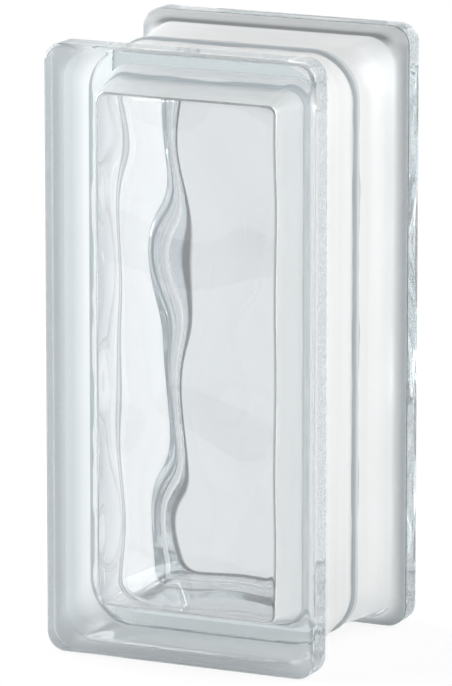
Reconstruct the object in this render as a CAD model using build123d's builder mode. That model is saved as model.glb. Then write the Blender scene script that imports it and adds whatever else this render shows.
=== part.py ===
"""Hollow clear glass block of the half size, 190 x 90 x 80 mm.

Two shallow shells are pressed, each with a flat outer face, a flange round that face and gentle
waves on the inside of the face. Their rims are melted together at mid depth, so the block is one
piece of glass round a sealed cavity, with a mortar channel on all four edges.
"""

import math
import os

from build123d import *

# Overall size, standing on a short edge
face_width = 90.0
face_height = 190.0
block_depth = 80.0

# Flange round each outer face
flange_thickness = 10.0
flange_corner_radius = 6.0
face_edge_radius = 1.5
face_edge_steps = 3

# Mortar channel between the flanges, measured down from the flange's edge
channel_foot_depth = 3.4
channel_seam_depth = 4.5
channel_cove_width = 3.2
channel_cove_steps = 3
channel_foot_corner_radius = 12.0
channel_seam_corner_radius = 14.0

# Bead of squeezed-out glass along the fused seam
bead_width = 5.0
bead_height = 1.4
bead_steps = 4

# Sealed cavity, drafted so that it is widest at the seam
face_wall = 8.8
window_border = 14.9
window_corner_radius = 3.0
seam_wall = 4.5
cavity_seam_corner_radius = 9.0
cavity_chamfer = 1.2

# Waves pressed into the inside of each face
wave_heights = (0.81, 0.30, 0.33, 0.18)
wave_lengths = (50.0, 34.5, 37.0, 31.0)
wave_headings = (-89.0, 27.0, -24.0, 52.0)
wave_phases = (45.0, 349.0, 222.0, 101.0)
wave_grid_pitch = 5.0
wave_fit_tolerance = 0.005

# How far a cutting shape runs past the face it cuts
overrun = 3.0

half_depth = block_depth / 2
mid_height = face_height / 2
lip_offset = half_depth - flange_thickness
foot_offset = lip_offset - channel_cove_width
window_offset = half_depth - face_wall
cavity_end = window_offset + overrun

# The seam lies in the middle of the depth; offsets from it run to the front
seam_plane = Plane(origin=(0, 0, mid_height), x_dir=(1, 0, 0), z_dir=(0, -1, 0))


def relief(x, z):
    """Rise of the waved inner face into the cavity at x across and z up from the block's middle."""
    rise = 0.0
    for height, length, heading, phase in zip(wave_heights, wave_lengths, wave_headings, wave_phases):
        turn = math.radians(heading)
        along = x * math.cos(turn) + z * math.sin(turn)
        rise += height * math.sin(2 * math.pi * along / length + math.radians(phase))
    return rise


# Front half shell from outside: drafted wall, hollow cove up to the flange, flange, rounded face edge
with BuildPart() as shell:
    with BuildSketch(seam_plane):
        RectangleRounded(
            face_width - 2 * channel_seam_depth,
            face_height - 2 * channel_seam_depth,
            channel_seam_corner_radius,
        )
    for step in range(channel_cove_steps + 1):
        turn = math.pi / 2 * step / channel_cove_steps
        depth = channel_foot_depth * math.cos(turn)
        depth_share = depth / channel_foot_depth
        with BuildSketch(seam_plane.offset(foot_offset + channel_cove_width * math.sin(turn))):
            RectangleRounded(
                face_width - 2 * depth,
                face_height - 2 * depth,
                flange_corner_radius + depth_share * (channel_foot_corner_radius - flange_corner_radius),
            )
    for step in range(face_edge_steps + 1):
        turn = math.pi / 2 * step / face_edge_steps
        inset = face_edge_radius * (1 - math.cos(turn))
        with BuildSketch(seam_plane.offset(half_depth - face_edge_radius * (1 - math.sin(turn)))):
            RectangleRounded(
                face_width - 2 * inset,
                face_height - 2 * inset,
                flange_corner_radius - inset,
            )
    loft(ruled=True)

# Bead that the joint squeezes out, a half-round band right round the seam
with BuildPart() as bead:
    for step in range(bead_steps + 1):
        turn = math.pi * step / bead_steps
        rise = bead_height * math.sin(turn)
        with BuildSketch(seam_plane.offset(bead_width / 2 * math.cos(turn))):
            RectangleRounded(
                face_width - 2 * channel_seam_depth + 2 * rise,
                face_height - 2 * channel_seam_depth + 2 * rise,
                channel_seam_corner_radius + rise,
            )
    loft(ruled=True)

# Both shells fused rim to rim
with BuildPart() as body:
    add(shell.part)
    add(shell.part, rotation=(0, 0, 180))
    add(bead.part)

# Front half of the cavity: drafted pocket, ended by the waved face
draft = (window_border - channel_seam_depth - seam_wall) / window_offset
end_border = window_border + draft * overrun
columns = math.ceil((face_width - window_border) / wave_grid_pitch)
rows = math.ceil((face_height - window_border) / wave_grid_pitch)
grid = [
    [
        (
            (column / columns - 1 / 2) * (face_width - window_border),
            relief(
                (column / columns - 1 / 2) * (face_width - window_border),
                (row / rows - 1 / 2) * (face_height - window_border),
            )
            - window_offset,
            (row / rows - 1 / 2) * (face_height - window_border) + mid_height,
        )
        for column in range(columns + 1)
    ]
    for row in range(rows + 1)
]
waved_face = Face.make_surface_from_array_of_points(grid, tol=wave_fit_tolerance)

with BuildPart() as pocket:
    with BuildSketch(seam_plane):
        RectangleRounded(
            face_width - 2 * (channel_seam_depth + seam_wall),
            face_height - 2 * (channel_seam_depth + seam_wall),
            cavity_seam_corner_radius,
        )
    with BuildSketch(seam_plane.offset(cavity_end)):
        RectangleRounded(
            face_width - 2 * end_border,
            face_height - 2 * end_border,
            window_corner_radius,
        )
    loft()
    extrude(waved_face, amount=half_depth, dir=(0, 1, 0), mode=Mode.INTERSECT)
    chamfer(
        pocket.edges().filter_by_position(Axis.Y, -cavity_end, -window_offset + overrun),
        cavity_chamfer,
    )

with BuildPart() as cavity:
    add(pocket.part)
    add(pocket.part, rotation=(0, 0, 180))

with BuildPart() as glass_block:
    add(body.part)
    add(cavity.part, mode=Mode.SUBTRACT)

os.makedirs("parts", exist_ok=True)
glass_block.part.label = "glass_block"
export_step(glass_block.part, "parts/glass_block.step")
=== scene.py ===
import math

import bmesh
import bpy
import mathutils
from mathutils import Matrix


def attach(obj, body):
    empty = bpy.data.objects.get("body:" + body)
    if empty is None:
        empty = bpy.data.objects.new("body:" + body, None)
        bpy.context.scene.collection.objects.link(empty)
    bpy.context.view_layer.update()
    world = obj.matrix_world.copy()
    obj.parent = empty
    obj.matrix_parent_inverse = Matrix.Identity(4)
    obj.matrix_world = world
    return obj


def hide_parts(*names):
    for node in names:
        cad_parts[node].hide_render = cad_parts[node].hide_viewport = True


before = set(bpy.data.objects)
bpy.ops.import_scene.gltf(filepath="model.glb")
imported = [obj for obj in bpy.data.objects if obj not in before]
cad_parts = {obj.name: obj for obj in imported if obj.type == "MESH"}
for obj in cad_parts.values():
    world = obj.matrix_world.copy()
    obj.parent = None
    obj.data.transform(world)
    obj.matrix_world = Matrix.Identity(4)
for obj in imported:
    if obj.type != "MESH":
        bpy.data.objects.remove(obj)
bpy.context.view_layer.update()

# Glass block, outer skin
# Clear soda-lime glass, pressed as two shallow half shells in an iron mould and melted together
# rim to rim. Each half has a flat fire-polished face, a flange round it and a drafted wall.
mm = 0.001
face_width = 90.0 * mm
face_height = 190.0 * mm
half_depth = 40.0 * mm
mid_height = face_height / 2
flange_thickness = 10.0 * mm
flange_corner = 6.0 * mm
face_rounding = 1.5 * mm
lip_rounding = 0.7 * mm
foot_depth = 3.4 * mm
seam_depth = 4.5 * mm
cove_width = 3.2 * mm
cove_turn = 78.0
foot_corner = 9.0 * mm
seam_corner = 14.0 * mm
bead_half_width = 2.5 * mm
bead_height = 1.4 * mm
bead_margin = 0.5 * mm
bead_sway = 0.7 * mm
bead_sway_reach = bead_half_width + 1.5 * mm
bead_front_share = 0.35
bead_sway_shares = (0.5, 0.3, 0.2)
bead_sway_lengths = (43.0 * mm, 23.0 * mm, 11.0 * mm)
bead_sway_phases = (0.0, 1.3, 2.1)
# Strength of the painted shade along the rounded rims of the faces
edge_shade = 0.4
lip_offset = half_depth - flange_thickness
foot_offset = lip_offset - cove_width
corner_cuts = 12
width_cuts = 36
height_cuts = 80
grid_margin = 1.4 * mm
face_margin = 0.8 * mm
face_rounding_steps = 6
side_shares = (0.12, 0.5, 0.88)
lip_steps = 4
cove_steps = 7
channel_floor_steps = 9
bead_steps = 6
weld_reach = 0.01 * mm


def outline_point(across, up, offset, border, corner):
    """Where a point of the square grid's rim lies on an outline: on a straight side or a corner's arc."""
    half_width = face_width / 2 - border - corner
    half_height = mid_height - border - corner
    width_share = width_cuts / (width_cuts + corner_cuts)
    height_share = height_cuts / (height_cuts + corner_cuts)
    if abs(up) > abs(across):
        turn = math.pi / 4 * max(abs(across) - width_share, 0) / (1 - width_share)
        x = half_width * min(abs(across) / width_share, 1) + corner * math.sin(turn)
        z = half_height + corner * math.cos(turn)
    else:
        turn = math.pi / 4 * max(abs(up) - height_share, 0) / (1 - height_share)
        x = half_width + corner * math.cos(turn)
        z = half_height * min(abs(up) / height_share, 1) + corner * math.sin(turn)
    return math.copysign(x, across), offset, mid_height + math.copysign(z, up)


def press_half(name, outlines):
    """Draws a half shell out of a flat grid: its rim is extruded from outline to outline up to the seam."""
    bpy.ops.object.select_all(action="DESELECT")
    bpy.ops.mesh.primitive_grid_add(
        x_subdivisions=width_cuts + corner_cuts,
        y_subdivisions=height_cuts + corner_cuts,
        size=2,
        rotation=(math.pi / 2, 0, 0),
    )
    half = bpy.context.object
    half.name = name
    bpy.ops.object.transform_apply(location=False, rotation=True, scale=False)
    bpy.ops.object.mode_set(mode="EDIT")
    bpy.ops.mesh.select_mode(type="EDGE")
    bpy.ops.mesh.select_all(action="DESELECT")
    cage = bmesh.from_edit_mesh(half.data)
    across = cage.verts.layers.float.new("across")
    up = cage.verts.layers.float.new("up")
    face_offset, face_border = outlines[0][:2]
    for vertex in cage.verts:
        vertex[across], vertex[up] = vertex.co.x, vertex.co.z
        vertex.co.x *= face_width / 2 - face_border - grid_margin
        vertex.co.z = mid_height + vertex.co.z * (mid_height - face_border - grid_margin)
        vertex.co.y = face_offset
    for edge in cage.edges:
        if edge.is_boundary:
            edge.select_set(True)
    bmesh.update_edit_mesh(half.data)
    for station in outlines:
        bpy.ops.mesh.extrude_edges_move()
        cage = bmesh.from_edit_mesh(half.data)
        across = cage.verts.layers.float["across"]
        up = cage.verts.layers.float["up"]
        for vertex in cage.verts:
            if vertex.select:
                vertex.co = outline_point(vertex[across], vertex[up], *station)
        bmesh.update_edit_mesh(half.data)
    cage.verts.layers.float.remove(cage.verts.layers.float["across"])
    cage.verts.layers.float.remove(cage.verts.layers.float["up"])
    bpy.ops.object.mode_set(mode="OBJECT")
    return half


def fuse_halves(half, inside):
    """Turns a copy of a half shell to the back, joins both at the seam and points the faces one way."""
    bpy.ops.object.select_all(action="DESELECT")
    half.select_set(True)
    bpy.context.view_layer.objects.active = half
    bpy.ops.object.duplicate()
    back = bpy.context.object
    back.rotation_euler = (0, 0, math.pi)
    bpy.ops.object.transform_apply(location=False, rotation=True, scale=False)
    half.select_set(True)
    bpy.context.view_layer.objects.active = half
    bpy.ops.object.join()
    bpy.ops.object.mode_set(mode="EDIT")
    bpy.ops.mesh.select_all(action="SELECT")
    bpy.ops.mesh.remove_doubles(threshold=weld_reach)
    bpy.ops.mesh.normals_make_consistent(inside=inside)
    bpy.ops.object.mode_set(mode="OBJECT")
    bpy.ops.object.shade_smooth()


def outer_half():
    """Place in depth, border and corner radius of a half shell's outlines, from face to seam."""
    stations = [(-half_depth, face_rounding + face_margin, flange_corner - face_rounding - face_margin)]
    for step in range(face_rounding_steps + 1):
        turn = math.pi / 2 * step / face_rounding_steps
        border = face_rounding * (1 - math.sin(turn))
        stations.append((-half_depth + face_rounding * (1 - math.cos(turn)), border, flange_corner - border))
    side_top = half_depth - face_rounding
    side_foot = lip_offset + lip_rounding
    for share in side_shares:
        stations.append((-side_top - share * (side_foot - side_top), 0, flange_corner))
    for step in range(lip_steps):
        turn = math.pi / 2 * step / lip_steps
        border = lip_rounding * (1 - math.cos(turn))
        stations.append((-lip_offset - lip_rounding * (1 - math.sin(turn)), border, flange_corner + border))
    for step in range(cove_steps + 1):
        turn = math.radians(cove_turn) * (1 - step / cove_steps)
        border = foot_depth * math.cos(turn)
        corner = flange_corner + border / foot_depth * (foot_corner - flange_corner)
        stations.append((-foot_offset - cove_width * math.sin(turn), border, corner))
    floor_end = bead_half_width + bead_margin
    for step in range(1, channel_floor_steps + 1):
        offset = foot_offset + (floor_end - foot_offset) * step / channel_floor_steps
        share = 1 - offset / foot_offset
        border = foot_depth + share * (seam_depth - foot_depth)
        stations.append((-offset, border, foot_corner + share * (seam_corner - foot_corner)))
    for step in range(1, bead_steps + 1):
        turn = math.pi / 2 * step / bead_steps
        rise = bead_height * math.sin(turn)
        stations.append((-bead_half_width * math.cos(turn), seam_depth - rise, seam_corner + rise))
    return stations


def squeezed_out(place):
    """How far the glass squeezed out of the seam runs on at a place round the block, from -1 to 1."""
    sway = 0.0
    for share, length, phase in zip(bead_sway_shares, bead_sway_lengths, bead_sway_phases):
        sway += share * math.sin(2 * math.pi * place / length + phase)
    return sway


outer_skin = press_half("glass_block_outer", outer_half())
fuse_halves(outer_skin, inside=False)
outside = outer_skin.data.attributes.new("outside", "FLOAT", "POINT")
outer_rim_shade = outer_skin.data.attributes.new("rim_shade", "FLOAT", "POINT")
for vertex in outer_skin.data.vertices:
    # Painted shade: a mask that darkens the face's rounded rim, most in the middle of the rounding
    rounding_share = (half_depth - abs(vertex.co.y)) / face_rounding
    if 0 < rounding_share < 1:
        outer_rim_shade.data[vertex.index].value = edge_shade * math.sin(math.pi * rounding_share)
    outside.data[vertex.index].value = 1.0
    reach_share = max(1 - abs(vertex.co.y) / bead_sway_reach, 0)
    half_share = 1.0 if vertex.co.y > 0 else bead_front_share
    sway = bead_sway * squeezed_out(vertex.co.x + vertex.co.z)
    vertex.co.y += min(reach_share * 2, 1) * half_share * sway

# Glass block, cavity skin
# The inside of the two half shells, shaped by the plunger: drafted walls that thin towards the
# seam, a rounded foot, and long low waves pressed into the inside of each face.
face_wall = 8.8 * mm
window_border = 14.9 * mm
window_corner = 3.0 * mm
window_corner_least = 1.0 * mm
window_rounding = 0.9 * mm
seam_wall = 4.5 * mm
seam_ridge_height = 0.35 * mm
seam_ridge_half_width = 1.5 * mm
cavity_seam_corner = 9.0 * mm
window_offset = half_depth - face_wall
wave_heights = (0.81 * mm, 0.30 * mm, 0.33 * mm, 0.18 * mm)
wave_lengths = (50.0 * mm, 34.5 * mm, 37.0 * mm, 31.0 * mm)
wave_headings = (-89.0, 27.0, -24.0, 52.0)
wave_phases = (45.0, 349.0, 222.0, 101.0)
wave_fade_start = 20.0 * mm
wave_fade_end = 29.0 * mm
rim_flat_width = 3.0 * mm
rim_shade_gain = 1.3
window_rounding_steps = 7
cavity_wall_steps = 12
seam_ridge_steps = 4


def wave_rise(x, z):
    """Rise of the waved face into the cavity at x across and z up from the block's middle."""
    rise = 0.0
    for height, length, heading, phase in zip(wave_heights, wave_lengths, wave_headings, wave_phases):
        turn = math.radians(heading)
        along = x * math.cos(turn) + z * math.sin(turn)
        rise += height * math.sin(2 * math.pi * along / length + math.radians(phase))
    return rise


def cavity_half():
    """Place in depth, border and corner radius of the cavity's outlines, from waves to seam."""
    draft = (window_border - seam_depth - seam_wall) / window_offset
    stations = []
    for step in range(window_rounding_steps + 1):
        turn = math.pi / 2 * step / window_rounding_steps
        offset = window_offset - window_rounding * (1 - math.cos(turn))
        inset = window_rounding * (1 - math.sin(turn))
        border = window_border + inset - draft * (window_offset - offset)
        stations.append((-offset, border, max(window_corner - inset, window_corner_least)))
    wall_start = window_offset - window_rounding
    for step in range(1, cavity_wall_steps + 1):
        offset = wall_start + (seam_ridge_half_width - wall_start) * step / cavity_wall_steps
        border = window_border - draft * (window_offset - offset)
        corner = window_corner + step / cavity_wall_steps * (cavity_seam_corner - window_corner)
        stations.append((-offset, border, corner))
    for step in range(1, seam_ridge_steps + 1):
        turn = math.pi * step / seam_ridge_steps
        ridge = seam_ridge_height * (1 - math.cos(turn)) / 2
        offset = seam_ridge_half_width * (1 - step / seam_ridge_steps)
        border = window_border - draft * (window_offset - offset) + ridge
        stations.append((-offset, border, cavity_seam_corner - ridge))
    return stations


def smooth_share(value):
    """Smooth step from 0 to 1."""
    value = min(max(value, 0), 1)
    return value * value * (3 - 2 * value)


cavity_skin = press_half("glass_block_cavity", cavity_half())
fuse_halves(cavity_skin, inside=True)
rim_shade = cavity_skin.data.attributes.new("rim_shade", "FLOAT", "POINT")
for vertex in cavity_skin.data.vertices:
    way = 1 if vertex.co.y < 0 else -1
    offset = abs(vertex.co.y)
    # Painted shade: a mask that darkens the window's rounded rim, most where it bends
    rounding_share = (window_offset - offset) / window_rounding
    if rounding_share < 1:
        bend = math.sin(2 * math.acos(min(1 - rounding_share, 1)))
        rim_shade.data[vertex.index].value = min(rim_shade_gain * bend, 1)
    share = smooth_share((offset - wave_fade_start) / (wave_fade_end - wave_fade_start))
    if way > 0:
        from_left = face_width / 2 - window_border + vertex.co.x
        share *= smooth_share(from_left / rim_flat_width)
    vertex.co.y += way * share * wave_rise(way * vertex.co.x, vertex.co.z - mid_height)

# Glass block, one piece
# Both skins bound the same glass, so they are one object: the outer one faces out, the inner one
# faces into the cavity. The glass has the faint blue-green cast of iron in the sand.
bpy.ops.object.select_all(action="DESELECT")
cavity_skin.select_set(True)
outer_skin.select_set(True)
bpy.context.view_layer.objects.active = outer_skin
bpy.ops.object.join()
glass_block = outer_skin
glass_block.name = "glass_block_pressed"

glass_tint = (0.87, 0.88, 0.89, 1)
glass_index = 1.52
glass_cast = (0.25, 0.42, 0.47, 1)
glass_cast_density = 6.0
# Painted shade: the rounded rims are tinted nearly black to draw dark lines along them
rim_shade_colour = (0.08, 0.086, 0.09, 1)
rim_roughness = 0.12
front_rim_shade_share = 0.75
smear_roughness = 0.03
smear_scale = 28.0
smear_detail = 3.0
smear_range = (0.5, 0.75)
haze_colour = (0.98, 0.973, 0.965, 1)
streak_colour = (0.94, 0.932, 0.925, 1)
streak_scales = (40.0, 260.0, 6.0)
streak_detail = 2.0
streak_range = (0.35, 0.65)
wall_cover = 0.7
wall_roughness = 0.5
# The grit's speckled grain and roughness are the coat's own; its grey, darkest at the lip of each cove, is
# painted shade
grit_shade_dark = (0.54, 0.575, 0.595, 1)
grit_shade_pale = (0.56, 0.595, 0.615, 1)
grit_cover = 0.85
grit_roughness = 0.6
grit_gain = 1.2
grit_full = lip_offset + 0.2 * mm
speckle_scale = 900.0
speckle_detail = 3.0
speckle_range = (0.38, 0.62)
grain_strength = 0.2
grain_height = 0.05 * mm
side_cover = 0.35
side_fade = 2.0 * mm
coat_through = 0.55
coat_overlap = 1.0 * mm
coat_raggedness = 0.5 * mm
coat_end = lip_offset + 0.8 * mm
coat_end_full = lip_offset + 0.3 * mm
# Painted shade: the coat on the front left is greyed, most towards the front flange and the left edge
front_shade_start = 3.0 * mm
left_shade_full = -face_width / 2 + 5.0 * mm
left_shade_end = -face_width / 2 + 14.0 * mm
foot_clear_height = 3.0 * mm
foot_coated_height = 9.0 * mm
top_start = face_height - 7.0 * mm
top_full = face_height - 3.5 * mm
# Painted light: the grit's grey is paled at the top of the back cove, where light falls from above
top_painted_light = 0.55
# Painted shade: a dark band in the back top cove between its foot and lip, fading towards the right end
crease_shade_strength = 0.95
crease_shade_lip = (lip_offset - 0.1 * mm, lip_offset - 1.2 * mm)
crease_shade_foot = (foot_offset + 0.3 * mm, foot_offset + 1.2 * mm)
crease_shade_end_start = face_width / 2 - 7.0 * mm
crease_shade_end = face_width / 2 - 2.0 * mm
# Colour of the ragged line on the back lip, also used for the painted shade of the crease
line_and_crease_shade_colour = (0.14, 0.15, 0.155, 1)
line_half_width = 0.75 * mm
line_core_share = 0.2
line_place = lip_offset + 0.1 * mm
# Painted shade: the bead is greyed, less on its crown than on its flanks
bead_shade_colour = (0.47, 0.505, 0.525, 1)
bead_cover = 0.85
bead_coated = bead_half_width - 0.3 * mm
bead_crown_shade_share = 0.55
bead_crown = 0.3 * mm
bead_flank = 1.4 * mm
clear_glass = bpy.data.materials.new("clear_pressed_glass")
clear_glass.use_nodes = True
nodes = clear_glass.node_tree.nodes
links = clear_glass.node_tree.links


def math_node(operation, first, *others):
    """Adds math nodes to the tree at hand that take in sockets or plain numbers one by one."""
    for second in others or (0.0,):
        node = nodes.new("ShaderNodeMath")
        node.operation = operation
        for socket, value in zip(node.inputs, (first, second)):
            if isinstance(value, (int, float)):
                socket.default_value = value
            else:
                links.new(value, socket)
        first = node.outputs["Value"]
    return first


def ramp_between(value, start, end):
    """Adds a smooth ramp from 0 at start to 1 at end and gives its output."""
    node = nodes.new("ShaderNodeMapRange")
    node.interpolation_type = "SMOOTHSTEP"
    links.new(value, node.inputs["Value"])
    node.inputs["From Min"].default_value = start
    node.inputs["From Max"].default_value = end
    return node.outputs["Result"]


def colour_mix(mask, first, second):
    """Adds a mix of two colours, plain or from sockets, by a mask and gives its output."""
    node = nodes.new("ShaderNodeMix")
    node.data_type = "RGBA"
    links.new(mask, node.inputs["Factor"])
    for name, value in (("A", first), ("B", second)):
        if isinstance(value, tuple):
            node.inputs[name].default_value = value
        else:
            links.new(value, node.inputs[name])
    return node.outputs["Result"]


def noise_at(vector, scale, detail):
    """Adds a noise texture on a place's vector and gives its output."""
    node = nodes.new("ShaderNodeTexNoise")
    node.inputs["Scale"].default_value = scale
    node.inputs["Detail"].default_value = detail
    links.new(vector, node.inputs["Vector"])
    return node.outputs["Fac"]


def mesh_mask(name):
    """Adds the reading of a mask stored on the mesh and gives its output."""
    node = nodes.new("ShaderNodeAttribute")
    node.attribute_name = name
    return node.outputs["Fac"]


# Where each finish lies: the coat on the mortar channel, its grit in the coves, the bead, the sides, and the
# masks of the shade and light painted into the coat
place = nodes.new("ShaderNodeTexCoord").outputs["Object"]
axes = nodes.new("ShaderNodeSeparateXYZ")
links.new(place, axes.inputs["Vector"])
across, up = axes.outputs["X"], axes.outputs["Z"]
depth = math_node("ABSOLUTE", axes.outputs["Y"])
front_depth = math_node("MULTIPLY", axes.outputs["Y"], -1.0)
behind = math_node("GREATER_THAN", axes.outputs["Y"], 0.0)
outer = mesh_mask("outside")
speckle = noise_at(place, speckle_scale, speckle_detail)
ragged = math_node("MULTIPLY", math_node("SUBTRACT", speckle, 0.5), coat_raggedness)
ragged = math_node("MULTIPLY", math_node("ADD", ragged, coat_overlap), behind)
coat_depth = math_node("SUBTRACT", depth, ragged)
wall = math_node("MULTIPLY", ramp_between(coat_depth, coat_end, coat_end_full), outer)
face_edge = half_depth - face_rounding
side = math_node("MULTIPLY", ramp_between(depth, face_edge, face_edge - side_fade), outer)
# The coves' grit, strongest at the lip, where its grey is painted shade
cove = math_node("POWER", ramp_between(depth, foot_offset, grit_full), grit_gain)
# Painted shade on the front left of the coat, in the grit's grey
left_shade_side = ramp_between(across, left_shade_end, left_shade_full)
left_painted_shade = math_node("MULTIPLY", ramp_between(front_depth, front_shade_start, foot_offset), left_shade_side)
grit_and_shade = math_node("MULTIPLY", math_node("MAXIMUM", cove, left_painted_shade), wall)
bead = math_node("MULTIPLY", ramp_between(depth, bead_half_width, bead_coated), outer)
foot = ramp_between(up, foot_coated_height, foot_clear_height)
coated_wall = math_node("SUBTRACT", wall, foot)
top = math_node("MULTIPLY", ramp_between(up, top_start, top_full), behind)

# Clear glass, darker along its rounded rims by painted shade, with faint smears
rim_shade_strength = math_node("ADD", math_node("MULTIPLY", behind, 1 - front_rim_shade_share), front_rim_shade_share)
rim_shade_mask = math_node("MULTIPLY", mesh_mask("rim_shade"), rim_shade_strength)
smear = ramp_between(noise_at(place, smear_scale, smear_detail), *smear_range)
roughness = math_node(
    "MAXIMUM",
    math_node("MULTIPLY", grit_and_shade, grit_roughness),
    math_node("MULTIPLY", coated_wall, wall_roughness),
    math_node("MULTIPLY", rim_shade_mask, rim_roughness),
    math_node("MULTIPLY", smear, smear_roughness),
)
glass_shader = nodes["Principled BSDF"]
links.new(colour_mix(rim_shade_mask, glass_tint, rim_shade_colour), glass_shader.inputs["Base Color"])
links.new(roughness, glass_shader.inputs["Roughness"])
glass_shader.inputs["IOR"].default_value = glass_index
glass_shader.inputs["Transmission Weight"].default_value = 1.0

# Colour of the coat: streaky haze, grit greyed by painted shade, painted shade on the front left, painted
# light on the back top, a ragged dark line on the back lip, a crease of painted shade, painted shade on the
# bead
streak_stretch = nodes.new("ShaderNodeMapping")
streak_stretch.inputs["Scale"].default_value = streak_scales
links.new(place, streak_stretch.inputs["Vector"])
streaks = noise_at(streak_stretch.outputs["Vector"], 1.0, streak_detail)
haze = colour_mix(ramp_between(streaks, *streak_range), streak_colour, haze_colour)
# Speckled grey of the grit, as painted shade on the coves
grit_shade_tone = colour_mix(ramp_between(speckle, *speckle_range), grit_shade_dark, grit_shade_pale)
# Painted light at the top of the back cove
painted_top_light = math_node("SUBTRACT", 1.0, math_node("MULTIPLY", top, top_painted_light))
greyed = math_node("MAXIMUM", math_node("MULTIPLY", grit_and_shade, painted_top_light), math_node("SUBTRACT", side, wall))
coat_colour = colour_mix(greyed, haze, grit_shade_tone)
from_line = math_node("ABSOLUTE", math_node("SUBTRACT", coat_depth, line_place))
lip_line = ramp_between(from_line, line_half_width, line_core_share * line_half_width)
lip_line = math_node("MULTIPLY", lip_line, behind, outer)
# Painted shade in the crease of the back top cove
crease_shade = math_node(
    "MULTIPLY",
    ramp_between(depth, *crease_shade_lip),
    ramp_between(depth, *crease_shade_foot),
    ramp_between(across, crease_shade_end, crease_shade_end_start),
    top,
    outer,
    crease_shade_strength,
)
lip_line_and_crease_shade = math_node("MAXIMUM", lip_line, crease_shade)
coat_colour = colour_mix(lip_line_and_crease_shade, coat_colour, line_and_crease_shade_colour)
# Painted shade on the bead, most on its flanks
bead_flank_shade = math_node("MULTIPLY", ramp_between(depth, bead_crown, bead_flank), 1 - bead_crown_shade_share)
bead_painted_shade = math_node("MULTIPLY", bead, math_node("ADD", bead_flank_shade, bead_crown_shade_share))
coat_colour = colour_mix(bead_painted_shade, coat_colour, bead_shade_colour)

# The coat itself scatters part of the light back and lets part of it through
grain = nodes.new("ShaderNodeBump")
grain.inputs["Strength"].default_value = grain_strength
grain.inputs["Distance"].default_value = grain_height
links.new(math_node("MULTIPLY", speckle, grit_and_shade, behind), grain.inputs["Height"])
coat_front = nodes.new("ShaderNodeBsdfDiffuse")
links.new(coat_colour, coat_front.inputs["Color"])
links.new(grain.outputs["Normal"], coat_front.inputs["Normal"])
coat_back = nodes.new("ShaderNodeBsdfTranslucent")
links.new(coat_colour, coat_back.inputs["Color"])
coat_shader = nodes.new("ShaderNodeMixShader")
coat_shader.inputs["Fac"].default_value = coat_through
links.new(coat_front.outputs["BSDF"], coat_shader.inputs[1])
links.new(coat_back.outputs["BSDF"], coat_shader.inputs[2])
cover = math_node(
    "MAXIMUM",
    math_node("MULTIPLY", grit_and_shade, grit_cover),
    math_node("MULTIPLY", bead, bead_cover),
    math_node("MULTIPLY", coated_wall, wall_cover),
    math_node("MULTIPLY", side, side_cover),
    math_node("MULTIPLY", lip_line_and_crease_shade, grit_cover),
)
surface = nodes.new("ShaderNodeMixShader")
links.new(cover, surface.inputs["Fac"])
links.new(glass_shader.outputs["BSDF"], surface.inputs[1])
links.new(coat_shader.outputs["Shader"], surface.inputs[2])
links.new(surface.outputs["Shader"], nodes["Material Output"].inputs["Surface"])
cast = nodes.new("ShaderNodeVolumeAbsorption")
cast.inputs["Color"].default_value = glass_cast
cast.inputs["Density"].default_value = glass_cast_density
links.new(cast.outputs["Volume"], nodes["Material Output"].inputs["Volume"])

glass_block.data.materials.clear()
glass_block.data.materials.append(clear_glass)
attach(glass_block, "root")
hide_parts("glass_block")

# Floor
# A plain pale studio table, level with the block's foot. Most of its white is even, for the eye and
# through the glass alike, and the rest is the light that falls on it, so that it keeps the shadow.
floor_size = 12.0
floor_colour = (0.95, 0.95, 0.95, 1)
floor_roughness = 0.9
floor_even_share = 0.85
bpy.ops.object.select_all(action="DESELECT")
bpy.ops.mesh.primitive_plane_add(size=floor_size, location=(0, 0, 0))
floor = bpy.context.object
floor.name = "floor"
floor_paint = bpy.data.materials.new("floor_paint")
floor_paint.use_nodes = True
nodes = floor_paint.node_tree.nodes
links = floor_paint.node_tree.links
floor_shader = nodes["Principled BSDF"]
floor_shader.inputs["Base Color"].default_value = floor_colour
floor_shader.inputs["Roughness"].default_value = floor_roughness
floor_shader.inputs["Specular IOR Level"].default_value = 0.0
seen = nodes.new("ShaderNodeLightPath")
seen_in_glass = math_node("MAXIMUM", seen.outputs["Is Glossy Ray"], seen.outputs["Is Transmission Ray"])
seen_at_all = math_node("MAXIMUM", seen.outputs["Is Camera Ray"], seen_in_glass)
even_white = nodes.new("ShaderNodeEmission")
floor_mix = nodes.new("ShaderNodeMixShader")
links.new(math_node("MULTIPLY", seen_at_all, floor_even_share), floor_mix.inputs["Fac"])
links.new(floor_shader.outputs["BSDF"], floor_mix.inputs[1])
links.new(even_white.outputs["Emission"], floor_mix.inputs[2])
links.new(floor_mix.outputs["Shader"], nodes["Material Output"].inputs["Surface"])
floor.data.materials.append(floor_paint)

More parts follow.
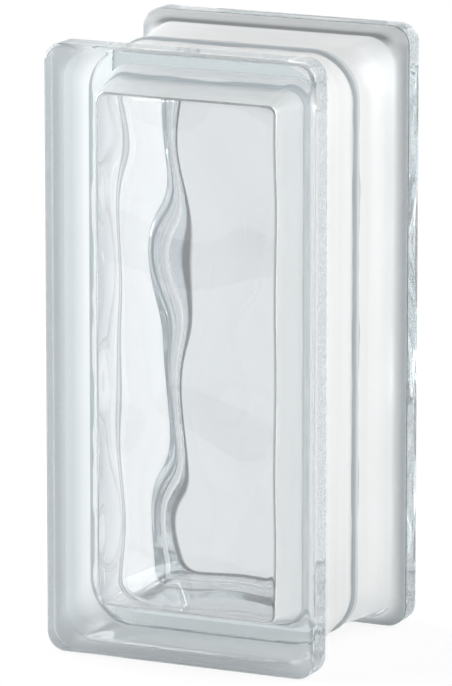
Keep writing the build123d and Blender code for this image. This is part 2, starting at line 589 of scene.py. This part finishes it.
# Studio light and camera
# A pale tent that is bright behind the block and dim on its left, two wide soft lamps at the left
# and right, and a camera at the front right, a little above the block.
tent_sides = (("X", -1, 0.4), ("Y", 1, 1.0))
world = bpy.data.worlds.new("studio_tent")
bpy.context.scene.world = world
world.use_nodes = True
nodes = world.node_tree.nodes
links = world.node_tree.links
place = nodes.new("ShaderNodeTexCoord").outputs["Generated"]
axes = nodes.new("ShaderNodeSeparateXYZ")
links.new(place, axes.inputs["Vector"])
tent = 0.0
for axis, way, level in tent_sides:
    facing = math_node("MAXIMUM", math_node("MULTIPLY", axes.outputs[axis], way), 0.0)
    tent = math_node("ADD", math_node("MULTIPLY", math_node("POWER", facing, 2.0), level), tent)
links.new(tent, nodes["Background"].inputs["Strength"])
nodes["Background"].inputs["Color"].default_value = (1, 1, 1, 1)

lamp_size = 2.0
lamps = {"left_lamp": ((-1.6, -0.2, 0.9), 71.0), "right_lamp": ((1.5, 0.75, 0.9), 56.0)}
for lamp_name, (spot, power) in lamps.items():
    lamp_data = bpy.data.lights.new(lamp_name, "AREA")
    lamp_data.size = lamp_size
    lamp_data.energy = power
    lamp = bpy.data.objects.new(lamp_name, lamp_data)
    bpy.context.scene.collection.objects.link(lamp)
    lamp.location = spot
    aim = mathutils.Vector((0, 0, mid_height)) - lamp.location
    lamp.rotation_euler = aim.to_track_quat("-Z", "Y").to_euler()

camera_place = (0.8179, -1.7737, 0.5253)
camera_tilt = 12.48
camera_heading = 24.82
camera_lens = 341.0
camera_data = bpy.data.cameras.new("camera")
camera = bpy.data.objects.new("camera", camera_data)
bpy.context.scene.collection.objects.link(camera)
camera.location = camera_place
camera.rotation_euler = (math.radians(90 - camera_tilt), 0, math.radians(camera_heading))
camera_data.lens = camera_lens
camera_data.sensor_width = 36
bpy.context.scene.camera = camera

bpy.context.scene.view_settings.view_transform = "Standard"
bpy.context.scene.cycles.max_bounces = 32
bpy.context.scene.cycles.transmission_bounces = 32
bpy.context.scene.cycles.glossy_bounces = 24
